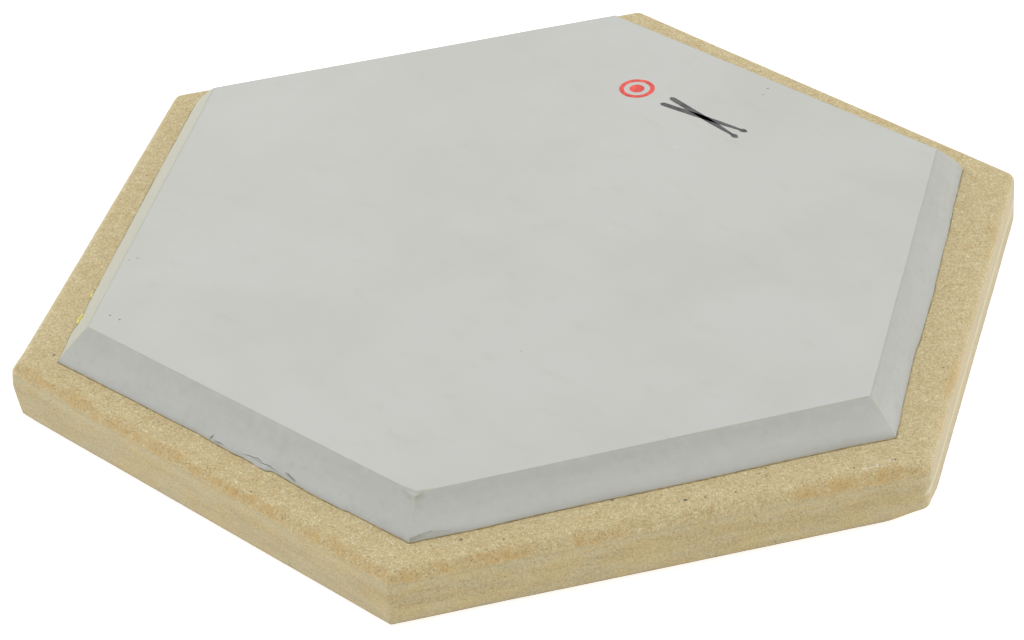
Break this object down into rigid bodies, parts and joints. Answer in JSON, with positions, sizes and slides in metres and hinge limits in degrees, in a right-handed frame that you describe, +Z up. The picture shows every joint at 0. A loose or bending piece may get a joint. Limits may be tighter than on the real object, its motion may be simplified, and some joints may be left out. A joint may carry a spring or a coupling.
{
  "type": "drum practice pad",
  "caption": "Hexagonal MDF practice pad with a bevelled grey gum-rubber playing slab, rubber feet and a stand thread in its underside.",
  "frame": {"origin": "under the middle of the board, on the plane that the feet stand on", "axes": "+Z up; -Y towards the player; +X across two opposite corners of the board"},
  "size_m": [0.28, 0.2424, 0.0255],
  "materials": {
    "mdf": "bare sanded fibreboard",
    "zinc_plated_steel": "bright zinc plating",
    "contact_cement": "dried contact cement, glossy where it squeezed out",
    "gum_rubber": "matt grey gum rubber with hand-cut sides",
    "red_print": "flat screen-printed ink",
    "grey_print": "flat screen-printed ink",
    "tape": "white double-sided tape",
    "foot_rubber": "matt black rubber"
  },
  "bodies": {
    "root": {"base_board": "mdf", "tee_nut": "zinc_plated_steel", "pad_adhesive": "contact_cement", "playing_pad": "gum_rubber", "printed_ring": "red_print", "printed_sticks": "grey_print", "foot_tapes": "tape", "foot_1": "foot_rubber", "foot_2": "foot_rubber", "foot_3": "foot_rubber", "foot_4": "foot_rubber", "foot_5": "foot_rubber", "foot_6": "foot_rubber"}
  },
  "joints": []
}
